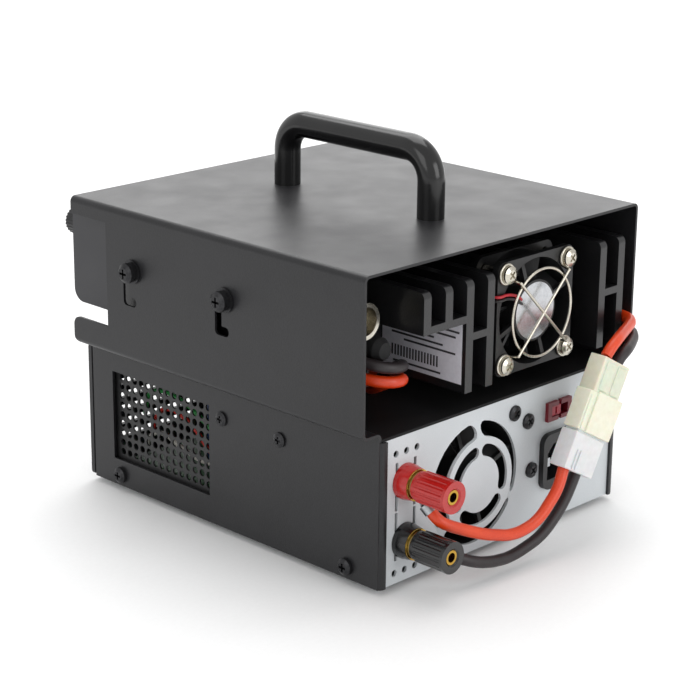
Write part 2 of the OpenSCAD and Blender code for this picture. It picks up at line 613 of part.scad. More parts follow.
// Finned aluminium heatsinks along each side wall
module heatsinks() color("#b9bcbf") for (s = [0, 1]) mirror([s, 0, 0]) difference() {
    union() {
        box([psu_x - 4.4, sink_screw_yz[0][0] - 4.5, base_z + 15], [psu_x - 1.4, sink_screw_yz[1][0] + 7, psu_top - 3]);
        for (i = [0 : 5]) box([psu_x - 16, sink_screw_yz[0][0] - 4.5 + i * 9.1, base_z + 15],
            [psu_x - 4.3, sink_screw_yz[0][0] - 2.7 + i * 9.1, psu_top - 3]);
    }
    for (p = sink_screw_yz) rod_x(p[0], p[1], psu_x - 7.2, psu_x, 3, 24);
}

// ---- hood ----

module carry_handle() color("#141415") translate([0, handle_y, hood_top]) {
    bend = 13;
    axis_h = handle_h - handle_d / 2;
    for (s = [-1, 1]) difference() {
        translate([0, s * handle_cc / 2, 0.02]) cylinder(h = axis_h - bend, d = handle_d);
        translate([0, s * handle_cc / 2, -1]) cylinder(h = 13, d = 4.2, $fn = 24);
    }
    for (s = [0, 1]) mirror([0, s, 0])
        translate([0, handle_cc / 2 - bend, axis_h - bend + 0.02]) rotate([90, 0, 90])
            rotate_extrude(angle = 90) translate([bend, 0]) circle(d = handle_d);
    translate([0, -handle_cc / 2 + bend, axis_h + 0.02]) rotate([-90, 0, 0])
        cylinder(h = handle_cc - 2 * bend, d = handle_d);
}

module handle_screws() color("#8c8e90") for (s = [-1, 1])
    translate([0, handle_y + s * handle_cc / 2, hood_top - sheet]) {
        translate([0, 0, -3.5]) cylinder(h = 3.48, d = 9, $fn = 32);
        translate([0, 0, -0.1]) cylinder(h = 11, d = 4, $fn = 24);
    }

// The radio's clamping screws with their spring and flat washers
module radio_screws() color("#29292b") for (s = [-1, 1], y = slot_y) {
    side_screw(s, hood_x + 2.3, y + seat_dy, seat_z, 8.8, 3.3, 3.9, 12, 0, 0);
    for (w = [[0.03, 1.1, 10.8], [1.15, 2.28, 8.4]]) difference() {
        rod_x(y + seat_dy, seat_z, s > 0 ? hood_x + w[0] : -hood_x - w[1], s > 0 ? hood_x + w[1] : -hood_x - w[0], w[2], 40);
        rod_x(y + seat_dy, seat_z, -hood_x - 3, hood_x + 3, 4.1, 24);
    }
}

module radio_spacers() color("#1d1d1e") for (s = [-1, 1], y = slot_y) difference() {
    rod_x(y + seat_dy, seat_z, s > 0 ? radio_x + 0.02 : -hood_in_x + 0.02, s > 0 ? hood_in_x - 0.02 : -radio_x - 0.02, 12);
    rod_x(y + seat_dy, seat_z, -hood_x, hood_x, 4.1, 24);
}

// ---- radio ----

// One upright cooling fin with a round upper rear corner
module fin(x, z0, y0) {
    edgewise(x - fin_t / 2, x + fin_t / 2) {
        translate([y0, z0]) square([fin_rear - y0, fin_z[1] - z0 - 3]);
        translate([y0, z0]) square([fin_rear - y0 - 3, fin_z[1] - z0]);
        translate([fin_rear - 3, fin_z[1] - 3]) circle(3, $fn = 32);
    }
}

// Die-cast body: an open tray with cooling fins at the rear
module radio_chassis() color("#1f1f21") difference() {
    union() {
        difference() {
            box([-radio_x, radio_y[0], radio_z[0]], [radio_x, radio_y[1], radio_z[1]]);
            box([-radio_x + 3, radio_y[0] + 3, radio_z[0] + 3], [radio_x - 3, radio_y[1] - 4, radio_z[1] + 1]);
        }
        for (x = fin_tall) fin(x, fin_z[0], radio_y[1] - 1);
        for (x = fin_short) fin(x, base_z + 103.5, radio_y[1] - 1);
        // ribs that tie the fins
        box([23, radio_y[1] - 1, base_z + 103.5], [53.2, fin_rear, base_z + 106.8]);
        box([12, radio_y[1] - 1, base_z + 95.4], [25, fin_rear, base_z + 98.6]);
        box([-76, radio_y[1] - 1, base_z + 96.4], [-63, fin_rear, base_z + 99.6]);
        // short fins and the screw bosses behind the fan
        for (x = [-1, -14, -28, -41]) box([x - 1.5, radio_y[1] - 1, fin_z[0] + 3], [x + 1.5, fan_y - 6, fin_z[1] - 3]);
        for (p = corners(fan_c, fan_cc)) rod_y(p[0], p[1], radio_y[1] - 1, fan_y - 0.05, 8, 32);
    }
    for (p = corners(fan_c, fan_cc)) rod_y(p[0], p[1], fan_y - 12, fan_y + 1, 3.6, 24);
    for (s = [-1, 1], y = slot_y) rod_x(y + seat_dy, seat_z, s > 0 ? radio_x - 4 : -radio_x - 1, s > 0 ? radio_x + 1 : -radio_x + 4, 3.9, 24);
    rod_y(antenna_c[0], antenna_c[1], radio_y[1] - 5, radio_y[1] + 1, 11, 32);
}

antenna_c = [67, base_z + 108.5];

module radio_top_cover() color("#2b2b2d") difference() {
    box([-radio_x, radio_y[0], radio_z[1] + 0.05], [radio_x, radio_y[1] - 1, radio_z[1] + 1.25]);
    for (i = [0 : 8]) box([-24 + i * 6, -40, radio_z[1] - 1], [-21.5 + i * 6, 6, radio_z[1] + 3]);
}

// The moulded front: a shell open at the back, with round front edges
module radio_bezel() color("#4a4a4e") difference() {
    edgewise(-bezel_x, bezel_x) {
        translate([bezel_y[0] + 6, bezel_z[0]]) square([bezel_y[1] - bezel_y[0] - 6, bezel_z[1] - bezel_z[0]]);
        translate([bezel_y[0], bezel_z[0] + 6]) square([8, bezel_z[1] - bezel_z[0] - 12]);
        for (z = [bezel_z[0] + 6, bezel_z[1] - 6]) translate([bezel_y[0] + 6, z]) circle(6);
    }
    box([-bezel_x + 2.5, bezel_y[0] + 4, bezel_z[0] + 2.5], [bezel_x - 2.5, bezel_y[1] + 1, bezel_z[1] - 2.5]);
    // display opening, keys, microphone socket and knob shafts
    box([-34, bezel_y[0] - 1, bezel_z[0] + 17], [34, bezel_y[0] + 5, bezel_z[0] + 37]);
    for (x = key_x) box([x - 7.2, bezel_y[0] - 1, key_z - 2.7], [x + 7.2, bezel_y[0] + 5, key_z + 2.7]);
    rod_y(knob_c[0], knob_c[1], bezel_y[0] - 1, bezel_y[0] + 5, 6.1, 32);
    rod_y(channel_c[0], channel_c[1], bezel_y[0] - 1, bezel_y[0] + 5, 6.1, 32);
    rod_y(mic_c[0], mic_c[1], bezel_y[0] - 1, bezel_y[0] + 5, 15, 40);
}

mic_c = [64, base_z + 97];

module display_window() color("#5d7d6a") box([-33.9, bezel_y[0] + 1, bezel_z[0] + 17.1], [33.9, bezel_y[0] + 3.2, bezel_z[0] + 36.9]);

// A knurled knob with its shaft
module knob(c, d, y0) difference() {
    union() {
        rod_y(c[0], c[1], y0, bezel_y[0] - 0.4, d, 48);
        rod_y(c[0], c[1], bezel_y[0] - 2.4, bezel_y[0] - 0.4, d + 1, 48);
        rod_y(c[0], c[1], bezel_y[0] - 1, bezel_y[0] + 9, 6, 32);
    }
    for (i = [0 : 23]) translate([c[0], 0, c[1]]) rotate([0, i * 15, 0])
        rod_y(d / 2 + 0.15, 0, y0 - 1, bezel_y[0] - 2.9, 1, 13);
    box([c[0] - 0.5, y0 - 1, c[1] + d / 4], [c[0] + 0.5, y0 + 0.8, c[1] + d / 2 - 1.2]);
}

module volume_knob() color("#2a2a2c") knob(knob_c, 12.8, front_y - knob_out);
module channel_knob() color("#2a2a2c") knob(channel_c, 21, front_y - knob_out + 3);

module key_cap(x) {
    box([x - 7, bezel_y[0] - 1.8, key_z - 2.5], [x + 7, bezel_y[0] + 4.4, key_z + 2.5]);
    box([x - 8, bezel_y[0] + 4.3, key_z - 3.5], [x + 8, bezel_y[0] + 5, key_z + 3.5]);
}
module key_1() color("#6a6a6e") key_cap(key_x[0]);
module key_2() color("#6a6a6e") key_cap(key_x[1]);
module key_3() color("#6a6a6e") key_cap(key_x[2]);

module mic_socket() color("#8e9092") difference() {
    union() {
        rod_y(mic_c[0], mic_c[1], bezel_y[0] - 1.5, bezel_y[0] - 0.02, 17, 48);
        rod_y(mic_c[0], mic_c[1], bezel_y[0] - 0.1, bezel_y[0] + 12, 14.8, 48);
    }
    rod_y(mic_c[0], mic_c[1], bezel_y[0] - 3, bezel_y[0] + 8, 12.4, 40);
}

module radio_board() color("#2f6b3c") {
    box([-70, radio_y[0] + 8, radio_z[0] + 8], [70, radio_y[1] - 8, radio_z[0] + 9.6]);
    box([-60, 4, radio_z[0] + 9.65], [-20, 32, radio_z[0] + 24]);
    for (x = [-64, 64], y = [radio_y[0] + 14, radio_y[1] - 14])
        translate([x, y, radio_z[0] + 3.02]) cylinder(h = 4.96, d = 6, $fn = 24);
}

module loudspeaker() color("#3a3a3c") translate([0, -17, 0]) {
    translate([0, 0, radio_z[1] - 6]) cylinder(h = 5.9, d = 56, $fn = 48);
    translate([0, 0, radio_z[1] - 17]) cylinder(h = 11.1, d1 = 28, d2 = 50, $fn = 48);
    translate([0, 0, radio_z[1] - 24]) cylinder(h = 7.1, d = 26, $fn = 48);
}

module antenna_socket() color("#c9ccce") difference() {
    union() {
        rod_y(antenna_c[0], antenna_c[1], radio_y[1] + 0.02, radio_y[1] + 2.5, 18, 48);
        rod_y(antenna_c[0], antenna_c[1], radio_y[1] - 8, radio_y[1] + 29, 10.9, 48);
        rod_y(antenna_c[0], antenna_c[1], radio_y[1] + 2, radio_y[1] + 29, 15.5, 48);
    }
    rod_y(antenna_c[0], antenna_c[1], radio_y[1] + 12, radio_y[1] + 30, 12, 48);
}

// Moulded outlet block: a thick rubber boot, and the two outlets of the supply leads
module cord_relief() color("#232826") {
    box([57, radio_y[1] + 0.02, base_z + 81], [75, radio_y[1] + 4, base_z + 98.4]);
    translate([60, radio_y[1] + 3.9, base_z + 95.5]) rotate([-90, 0, 0]) {
        cylinder(h = 26.2, d1 = 11, d2 = 10.4, $fn = 40);
        translate([0, 0, 26.19]) cylinder(h = 2.9, d1 = 10.4, d2 = 7, $fn = 40);
    }
    for (z = [88, 95]) translate([70, radio_y[1] + 3.9, z]) rotate([-90, 0, 0])
        cylinder(h = 61 - radio_y[1] - 3.9, d1 = 8, d2 = 6.5, $fn = 32);
}

module radio_fan_frame() color("#262628") fan_frame(fan_c, fan_w, fan_cc, fan_y, fan_rear, 46.6, 27);
module radio_fan_rotor() color("#2e2e31") fan_rotor(fan_c, fan_y + 1, fan_rear - 3.5, 26, 44.6, 7);

// Wire guard: a ring, two crossed wires outside it that bend down, and an eye at each screw
module fan_guard() color("#c6c8ca") translate([fan_c[0], fan_rear, fan_c[1]]) rotate([-90, 0, 0]) {
    ring_r = 19.3;
    eye = fan_cc / 2 * sqrt(2);
    eye_z = guard_d / 2 + 0.01;
    spoke_z = 5.09;
    translate([0, 0, 3.9]) rotate_extrude($fn = 72) translate([ring_r, 0]) circle(d = guard_d, $fn = 16);
    for (a = [45, 135]) rotate([0, 0, a])
        translate([0, 0, spoke_z]) rotate([0, 90, 0]) cylinder(h = 2 * (eye - 5.7), d = guard_d, center = true, $fn = 16);
    for (a = [45 : 90 : 315]) rotate([0, 0, a]) {
        translate([eye, 0, eye_z]) rotate_extrude($fn = 40) translate([4.2, 0]) circle(d = guard_d, $fn = 16);
        translate([eye - 4.5, 0, eye_z + 0.1]) rotate([0, -15, 0]) cylinder(h = 4.5, d = guard_d - 0.1, $fn = 16);
        translate([eye - 5.7, 0, spoke_z]) sphere(d = guard_d + 0.2, $fn = 24);
    }
}

module guard_screws() color("#d2cfc6") for (p = corners(fan_c, fan_cc)) {
    panel_screw(p[0], fan_rear + 1.85, p[1], 7.6, 1.9, 3.5, 1.85 + fan_t + 9);
    difference() {
        rod_y(p[0], p[1], fan_rear + 1.34, fan_rear + 1.84, 8, 40);
        rod_y(p[0], p[1], fan_rear, fan_rear + 5, 3.6, 24);
    }
}

// ---- leads and their connector ----

// A ring lug under the cap, with its barrel r0 away from the stud and bent outwards
module lug(z, turn, sweep, r0) {
    difference() {
        rod_y(post_x, z, rear_y + collar_l + ring_l + 0.02, rear_y + collar_l + ring_l + lug_t, 11.4, 40);
        rod_y(post_x, z, rear_y, rear_y + 20, stud_d + 0.3, 32);
    }
    translate([post_x, rear_y + collar_l + ring_l + lug_t / 2, z]) rotate([0, turn, 0]) {
        translate([5, -lug_t / 2 + 0.01, -1.8]) cube([r0 - 3.6, lug_t - 0.02, 3.6]);
        translate([r0, 0.6, 0]) rotate([0, 0, sweep]) rotate([0, 90, 0]) cylinder(h = 4, d = 6, $fn = 32);
    }
}

module lead_terminals() color("#8d9094") {
    lug(post_red_z, 108.6, 40, 9.3);
    lug(post_black_z, 153, 60, 9.9);
}

module lead_red() color("#e2401f") tube(lead_red_path, lead_d);
module lead_black() color("#2a2326") tube(lead_black_path, lead_d);
module pigtail_red() color("#e2401f") tube(pigtail_red_path, lead_d);
module pigtail_black() color("#2a2326") tube(pigtail_black_path, lead_d);

// The connector's halves stand in a frame whose z runs down its length
module connector_frame() translate(con_top) rotate([0, 180 - tilt, 0]) children();

module connector_upper() color("#e6e3cf") connector_frame() {
    translate([-con_w / 2, -con_t / 2, 0]) cube([con_w, con_t, con_upper]);
    translate([-con_w / 2 + 2, con_t / 2 - 0.01, 5]) cube([con_w - 4, 1.6, con_upper - 12]);
}

module connector_lower() color("#f0efee") connector_frame()
    translate([-con_w / 2 + 0.8, -con_t / 2 + 0.5, con_upper + 0.02]) cube([con_w - 1.6, con_t - 1, con_lower]);

cabinet_cover();
chassis_base();
rear_panel();
divider_plate();
side_vent_screens();
front_panel();
rocker_frame();
power_rocker();
power_led();
rubber_feet();
cover_screws();
heatsink_screws();
panel_screws();
psu_fan_frame();
psu_fan_rotor();
inlet_shell();
inlet_pins();
selector_frame();
selector_slider();
red_post_base();
red_post_stud();
red_cap_washer();
red_post_cap();
black_post_base();
black_post_stud();
black_cap_washer();
black_post_cap();
psu_board();
wound_parts();
capacitors();
heatsinks();
carry_handle();
handle_screws();
radio_screws();
radio_spacers();
radio_chassis();
radio_top_cover();
radio_bezel();
display_window();
volume_knob();
channel_knob();
key_1();
key_2();
key_3();
mic_socket();
radio_board();
loudspeaker();
antenna_socket();
cord_relief();
radio_fan_frame();
radio_fan_rotor();
fan_guard();
guard_screws();
lead_terminals();
lead_red();
lead_black();
connector_lower();
connector_upper();
pigtail_red();
pigtail_black();
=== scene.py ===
"""A bench power supply with a mobile radio hung above it in a stepped steel hood."""

import math

import bmesh
import bpy
from mathutils import Matrix, Quaternion, Vector


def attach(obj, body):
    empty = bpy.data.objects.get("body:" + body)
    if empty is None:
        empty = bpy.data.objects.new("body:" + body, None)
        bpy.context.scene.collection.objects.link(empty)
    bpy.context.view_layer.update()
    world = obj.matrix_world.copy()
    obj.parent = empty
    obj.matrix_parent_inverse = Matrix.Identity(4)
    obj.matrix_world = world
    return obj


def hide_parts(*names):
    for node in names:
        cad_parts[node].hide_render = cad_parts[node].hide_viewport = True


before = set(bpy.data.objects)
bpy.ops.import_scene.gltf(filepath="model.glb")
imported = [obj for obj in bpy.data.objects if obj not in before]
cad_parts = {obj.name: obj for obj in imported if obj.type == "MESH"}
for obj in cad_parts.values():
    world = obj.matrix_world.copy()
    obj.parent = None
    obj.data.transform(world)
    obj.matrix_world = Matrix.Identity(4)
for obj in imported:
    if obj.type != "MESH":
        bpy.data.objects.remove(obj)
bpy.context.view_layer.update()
scene = bpy.context.scene

# ---- camera ----
# A long lens that looks down on the corner between the post side and the rear panel.
VIEW_FROM = Vector((0.6397, 0.6170, 0.3554))
VIEW_ALONG = Vector((-0.6821, -0.6635, -0.3076))
VIEW_ROLL = math.radians(0.58)
SENSOR_WIDTH = 36.0
LENS_LENGTH = 106.4

camera = bpy.data.objects.new("camera", bpy.data.cameras.new("camera"))
camera.data.sensor_width = SENSOR_WIDTH
camera.data.lens = LENS_LENGTH
camera.data.clip_start = 0.01
camera.rotation_mode = "QUATERNION"
camera.location = VIEW_FROM
aim = VIEW_ALONG.to_track_quat("-Z", "Y")
camera.rotation_quaternion = aim @ Quaternion((0, 0, 1), VIEW_ROLL)
scene.collection.objects.link(camera)
scene.camera = camera
scene.view_settings.view_transform = "Standard"

# ---- studio ----
# A pale seamless floor under an even white surround. One wide soft light hangs overhead, a weaker one
# stands behind for the edges, and one lights each visible side.
SURROUND_STRENGTH = 0.8
FLOOR_HALF = 4.0
FLOOR_DROP = 0.0005     # keeps the floor just clear of the feet
CLOUD_GRAINS = 30       # how many grains wide the broad clouds of a finish are
RAMP_LOW = 0.36         # the noise values between which a finish turns from its colour to its tint
RAMP_HIGH = 0.64
GLOSS_LOW = 0.3         # and those between which it turns from its smoother to its rougher places
GLOSS_HIGH = 0.7


def linear(hex_colour):
    """An sRGB hex colour as linear RGBA."""
    parts = [int(hex_colour[i:i + 2], 16) / 255 for i in (1, 3, 5)]
    return [c / 12.92 if c <= 0.04045 else ((c + 0.055) / 1.055) ** 2.4 for c in parts] + [1.0]


def add(tree, kind, links=None, **settings):
    """Adds a shader node, with its settings, and with values or links for its sockets."""
    made = tree.nodes.new("ShaderNode" + kind)
    for name, value in settings.items():
        setattr(made, name, value)
    for socket, value in (links or {}).items():
        if isinstance(value, bpy.types.NodeSocket):
            tree.links.new(value, made.inputs[socket])
        else:
            made.inputs[socket].default_value = value
    return made


def surface(name, colour, tint, grain, relief, rough, **sockets):
    """A finish whose shade, gloss and relief vary over grains of a real size, all in metres.

    The colour turns to the tint from grain to grain, and the gloss drifts over broader clouds.
    """
    made = bpy.data.materials.new(name)
    made.use_nodes = True
    tree = made.node_tree
    tree.nodes.clear()
    place = add(tree, "TexCoord").outputs["Object"]
    fine = add(tree, "TexNoise", {"Vector": place, "Scale": 1 / grain, "Detail": 3.0})
    cloud = add(tree, "TexNoise", {"Vector": place, "Scale": 1 / (CLOUD_GRAINS * grain), "Detail": 2.0})
    both = add(tree, "Math", {0: fine.outputs["Fac"], 1: cloud.outputs["Fac"]}, operation="ADD")
    mean = add(tree, "Math", {0: both.outputs[0], 1: 0.5}, operation="MULTIPLY")
    shade = add(tree, "ValToRGB", {"Fac": mean.outputs[0]})
    for stop, place_on_ramp, hue in zip(shade.color_ramp.elements, (RAMP_LOW, RAMP_HIGH), (colour, tint)):
        stop.position = place_on_ramp
        stop.color = linear(hue)
    gloss = add(tree, "MapRange", {"Value": cloud.outputs["Fac"],
                                   "From Min": GLOSS_LOW, "From Max": GLOSS_HIGH,
                                   "To Min": rough[0], "To Max": rough[1]})
    bump = add(tree, "Bump", {"Height": fine.outputs["Fac"], "Distance": relief, "Strength": 1.0})
    shader = add(tree, "BsdfPrincipled", {"Base Color": shade.outputs["Color"],
                                          "Roughness": gloss.outputs["Result"],
                                          "Normal": bump.outputs["Normal"]})
    for socket, value in sockets.items():
        shader.inputs[socket.replace("_", " ")].default_value = value
    add(tree, "OutputMaterial", {"Surface": shader.outputs["BSDF"]})
    return made


def wear(material, *pieces):
    """Gives the material to pieces, which are objects or the names of CAD nodes."""
    for piece in pieces:
        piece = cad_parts.get(piece, piece) if isinstance(piece, str) else piece
        piece.data.materials.clear()
        piece.data.materials.append(material)


def new_piece(name, mesh, material, body="case"):
    """Makes a finished bmesh into a piece that rides on a body."""
    data = bpy.data.meshes.new(name)
    mesh.to_mesh(data)
    mesh.free()
    piece = bpy.data.objects.new(name, data)
    scene.collection.objects.link(piece)
    data.materials.append(material)
    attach(piece, body)
    return piece


world = bpy.data.worlds.new("studio")
world.use_nodes = True
surround = world.node_tree.nodes["Background"]
surround.inputs["Color"].default_value = linear("#ffffff")
surround.inputs["Strength"].default_value = SURROUND_STRENGTH
scene.world = world

floor_mesh = bmesh.new()
bmesh.ops.create_grid(floor_mesh, x_segments=1, y_segments=1, size=FLOOR_HALF)
floor_data = bpy.data.meshes.new("floor")
floor_mesh.to_mesh(floor_data)
floor_mesh.free()
floor = bpy.data.objects.new("floor", floor_data)
floor.location.z = -FLOOR_DROP
scene.collection.objects.link(floor)
wear(surface("studio_paper", "#f4f4f4", "#f7f7f7", 0.002, 0.0, (0.8, 0.9)), floor)


def softbox(name, place, target, size, power):
    """A square area light aimed at a point."""
    light = bpy.data.lights.new(name, "AREA")
    light.size = size
    light.energy = power
    lamp = bpy.data.objects.new(name, light)
    lamp.location = place
    lamp.rotation_mode = "QUATERNION"
    lamp.rotation_quaternion = (Vector(target) - Vector(place)).to_track_quat("-Z", "Y")
    scene.collection.objects.link(lamp)


softbox("overhead", (-0.25, -0.35, 1.25), (0, 0, 0.1), 1.1, 9)
softbox("behind", (-1.3, -1.2, 0.85), (0, 0, 0.14), 1.3, 6.5)
softbox("rear_left", (1.3, 0.1, 0.7), (0, 0, 0.08), 0.8, 2.5)
softbox("rear_right", (-0.2, 1.5, 0.6), (0, 0.05, 0.07), 0.9, 6)

# ---- leads ----
# Four leads of fine copper strand in soft extruded silicone rubber, which gives them a low, even
# sheen. Two run from ring lugs on the posts to the connector. Two come out of the radio's strain
# relief, turn back under the radio and come up its far side to the connector. Routes are in mm.
LEAD_THICK = 0.005
LEAD_ROUTES = {
    "lead_red": [(57.75, 97.98, 34.77), (57.14, 99.59, 32.95), (55.7, 101.5, 30.9), (52.8, 103, 29),
                 (48.5, 104.2, 26.9), (42, 105.9, 24), (35, 107.3, 21.2), (28, 108.2, 19),
                 (20.5, 109, 17.2), (11.5, 109.5, 17.2), (3.5, 110, 19.7), (-3, 110, 24.3),
                 (-9, 110, 30.5), (-13.5, 109, 37.5)],
    "lead_black": [(51.09, 98.88, 15.09), (50.02, 100.96, 14.55), (48, 103.2, 13.6), (44.5, 105.4, 12),
                 (39.5, 106.9, 10), (33, 107.7, 8.2), (26, 108, 7), (19, 108, 6.5), (9.5, 108.5, 8),
                 (0, 109, 11), (-8, 109, 16), (-15, 109, 22.5), (-19, 109, 28), (-22, 109, 33)],
    "pigtail_red": [(70, 61.2, 88), (69.9, 66, 88), (67.8, 71.5, 87.4), (63.8, 76, 86.6),
                 (58, 78, 85.8), (52.6, 75.8, 85), (49.8, 70.5, 83), (49, 64, 79.8), (47, 56, 75.6),
                 (42, 47, 72), (34, 39.5, 71.3), (24, 33, 71.2), (10, 28.5, 71.2), (-10, 26, 71.2),
                 (-40, 25.5, 71.2), (-62, 25.5, 71.4), (-70, 25.6, 72.2), (-76, 26, 73.7),
                 (-81.2, 27, 74.4), (-83, 30.5, 78), (-83, 35.5, 82.3), (-82.8, 42, 85.2),
                 (-82.4, 54, 86.2), (-82.4, 68, 86.3), (-82.4, 82, 86), (-81.4, 88.6, 85.7),
                 (-77.3, 93.2, 85.7), (-70, 97.3, 86), (-62, 101.3, 86.5), (-54, 105.2, 86.9),
                 (-47.6, 108, 86.7), (-43, 109, 85), (-39.6, 109, 81.9)],
    "pigtail_black": [(70, 61.2, 95), (69.9, 66, 94.8), (68, 71.7, 94), (64.3, 76.2, 92.9),
                 (58.4, 78, 91.8), (52.3, 75.6, 90.7), (48.3, 70, 88.6), (45.5, 63, 84.6),
                 (41.5, 55, 79.2), (35, 47.5, 74.3), (26, 41.5, 71.8), (16, 37.5, 71.2),
                 (0, 35.3, 71.2), (-30, 34, 71.2), (-58, 33.8, 71.3), (-68, 34, 71.9), (-75, 34, 73.5),
                 (-80.5, 34.6, 74.4), (-82.7, 38.5, 75.6), (-83, 44, 76.6), (-83, 50, 77.7),
                 (-82.6, 58, 79), (-82.4, 70, 80), (-82.3, 83, 80.3), (-80.8, 90.5, 80.3),
                 (-75.5, 96.3, 80.3), (-67.5, 101.5, 80.5), (-59.5, 106, 80.8), (-53.6, 108.6, 80.6),
                 (-50, 109, 79), (-47.4, 109, 76.6)],
}
red_insulation = surface("silicone_insulation_red", "#cc3407", "#da430e", 0.0006, 0.00002, (0.34, 0.46),
                         Specular_IOR_Level=0.5, Coat_Weight=0.15, Coat_Roughness=0.3)
black_insulation = surface("silicone_insulation_black", "#211b1d", "#2c2527", 0.0006, 0.00002, (0.4, 0.5),
                           Specular_IOR_Level=0.5)


def round_wire(name, route, thick, roundness, material):
    """A round wire that passes smoothly through the route's points, in millimetres, on the case."""
    curve = bpy.data.curves.new(name, "CURVE")
    curve.dimensions = "3D"
    curve.bevel_depth = thick / 2
    curve.bevel_resolution = roundness
    curve.resolution_u = 8
    curve.use_fill_caps = True
    spline = curve.splines.new("BEZIER")
    spline.bezier_points.add(len(route) - 1)
    for point, place in zip(spline.bezier_points, route):
        point.co = Vector(place) / 1000
        point.handle_left_type = "AUTO"
        point.handle_right_type = "AUTO"
    wire = bpy.data.objects.new(name, curve)
    scene.collection.objects.link(wire)
    curve.materials.append(material)
    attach(wire, "case")
    return wire


leads = {}
for name, route in LEAD_ROUTES.items():
    insulation = red_insulation if "red" in name else black_insulation
    leads[name] = round_wire(name + "_wire", route, LEAD_THICK, 6, insulation)
    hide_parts(name)

# ---- connector ----
# A two-pole wire connector of moulded nylon, whose slight translucency softens its edges. The radio's
# half is a housing above a wider sleeve with a latch on one edge, and it has yellowed with age. The
# supply's half is pushed into the sleeve from below. Blocks are in mm, down from the top.
CONNECTOR_TOP = Vector((-0.0425, 0.109, 0.0795))
CONNECTOR_TURN = Matrix.Translation(CONNECTOR_TOP) @ Matrix.Rotation(math.radians(151), 4, "Y")


def blocks(name, spans, soft, place, material):
    """Soft-edged blocks given by their low and high corners in millimetres, set by place."""
    mesh = bmesh.new()
    for low, high in spans:
        low, high = Vector(low), Vector(high)
        span = Matrix.Translation((low + high) / 2) @ Matrix.Diagonal((*(high - low), 1.0))
        made = bmesh.ops.create_cube(mesh, size=1.0, matrix=span)
        edges = list({edge for vert in made["verts"] for edge in vert.link_edges})
        bmesh.ops.bevel(mesh, geom=edges, offset=soft, segments=3, profile=0.5, affect="EDGES", material=-1)
    bmesh.ops.transform(mesh, matrix=place @ Matrix.Scale(0.001, 4), verts=mesh.verts)
    for face in mesh.faces:
        face.smooth = True
    return new_piece(name, mesh, material)


RADIO_HALF_BLOCKS = [
    [(-9.6, -4.0, 0), (10.0, 4.4, 17)],
    [(-7.4, 3.8, 1.5), (-0.6, 4.9, 14.5)],
    [(1.4, 3.8, 1.5), (8.4, 4.9, 14.5)],
]
SLEEVE_BLOCKS = [
    [(-6.4, -4.3, 15), (12.4, 5.6, 33.2)],
    [(-11.6, -3.4, 15.6), (-6.0, 4.6, 33)],
    [(-10.9, 4.2, 17.5), (-9.4, 5.3, 32.6)],
]
SUPPLY_HALF_BLOCKS = [
    [(-9.6, -3.2, 31), (9.6, 3.8, 35)],
    [(-11.0, -3.9, 34), (10.8, 4.6, 50.6)],
    [(-6.6, 4.3, 41), (-5.6, 5.2, 50)],
    [(-4.2, 4.3, 41), (-3.2, 5.2, 50)],
]
aged_nylon = surface("aged_nylon", "#d3d0ba", "#e0ddc9", 0.003, 0.00002, (0.3, 0.4),
                     Subsurface_Weight=0.4, Subsurface_Scale=0.003)
natural_nylon = surface("natural_nylon", "#dedbc4", "#e8e6d3", 0.003, 0.00002, (0.35, 0.45),
                        Subsurface_Weight=0.3, Subsurface_Scale=0.003)
white_nylon = surface("white_nylon", "#cfcfcf", "#dcdcdd", 0.003, 0.00002, (0.32, 0.42),
                      Subsurface_Weight=0.3, Subsurface_Scale=0.003)
radio_half = blocks("connector_radio_half", RADIO_HALF_BLOCKS, 0.6, CONNECTOR_TURN, aged_nylon)
blocks("connector_sleeve", SLEEVE_BLOCKS, 0.5, CONNECTOR_TURN, natural_nylon)
supply_half = blocks("connector_supply_half", SUPPLY_HALF_BLOCKS, 0.5, CONNECTOR_TURN, white_nylon)
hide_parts("connector_upper")
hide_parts("connector_lower")

# ---- rating label ----
# A silvery polyester film label, stuck to the side of a cooling fin and trimmed round its sloping
# edge. Its print is given as plain lines and a row of bars, with no words. Sizes are in mm.
FIN_SIDE = 27.25            # x of the fin's side
FILM_THICK = 0.12
PRINT_THICK = 0.06
PRINT_SINK = 0.01           # how far the print starts inside the film
FILM_CORNERS = [(40.5, 79), (85.5, 79), (85.5, 105.4), (62, 105.4), (40.5, 99)]
PRINT_START = 44
PRINT_LINES = [(100.6, 19, 40), (98.2, 12, 38), (95.8, 2, 26), (93.4, 2, 31), (91.0, 9, 38), (80.8, 3, 30)]
LINE_TALL = 0.9
BARS = 16
BAR_START = 46
BAR_STEP = 1.7
BAR_WIDE = 0.9
BAR_Z = (83.6, 88.4)

label_mesh = bmesh.new()
film = label_mesh.faces.new([label_mesh.verts.new(Vector((FIN_SIDE, y, z)) / 1000) for y, z in FILM_CORNERS])
thick = bmesh.ops.extrude_face_region(label_mesh, geom=[film])
raised = [item for item in thick["geom"] if isinstance(item, bmesh.types.BMVert)]
bmesh.ops.translate(label_mesh, vec=(FILM_THICK / 1000, 0, 0), verts=raised)
bmesh.ops.recalc_face_normals(label_mesh, faces=label_mesh.faces)
silver_film = surface("silver_film", "#d2d2da", "#e0e0e8", 0.002, 0.000004, (0.3, 0.42))
new_piece("rating_label", label_mesh, silver_film)

